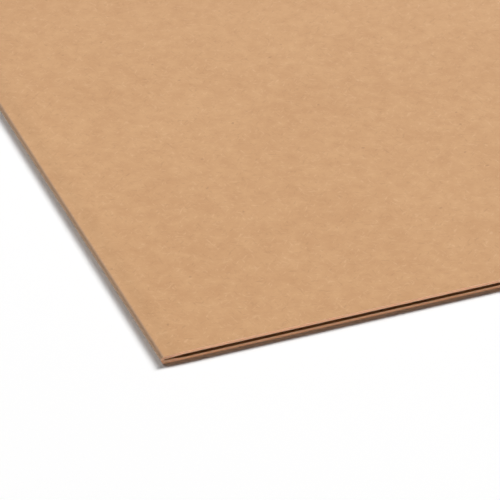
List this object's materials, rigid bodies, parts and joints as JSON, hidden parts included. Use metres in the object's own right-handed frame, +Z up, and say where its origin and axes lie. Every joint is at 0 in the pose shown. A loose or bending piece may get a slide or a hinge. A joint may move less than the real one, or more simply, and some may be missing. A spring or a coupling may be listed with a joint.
{
  "type": "file folder",
  "caption": "Letter-size top-tab file folder of brown kraft card with an index tab and a glued tab ply; its front leaf opens flat about the pressed fold.",
  "frame": {"origin": "middle of the closed folder's outline on the surface it lies on", "axes": "+X along the fold, +Y from the fold to the tab, +Z up from the back leaf to the front leaf"},
  "size_m": [0.2986, 0.2413, 0.0009],
  "materials": {
    "kraft_card": "matte"
  },
  "bodies": {
    "back": {"back_leaf": "kraft_card", "tab_reinforcement": "kraft_card", "fold": "kraft_card"},
    "front": {"front_leaf": "kraft_card"}
  },
  "joints": [
    {"name": "fold_hinge", "type": "hinge", "parent": "back", "child": "front", "pos_m": [0, -0.12032, 0.00043], "axis": [1, 0, 0], "range_deg": [0, 180], "deforming": ["fold"]}
  ]
}
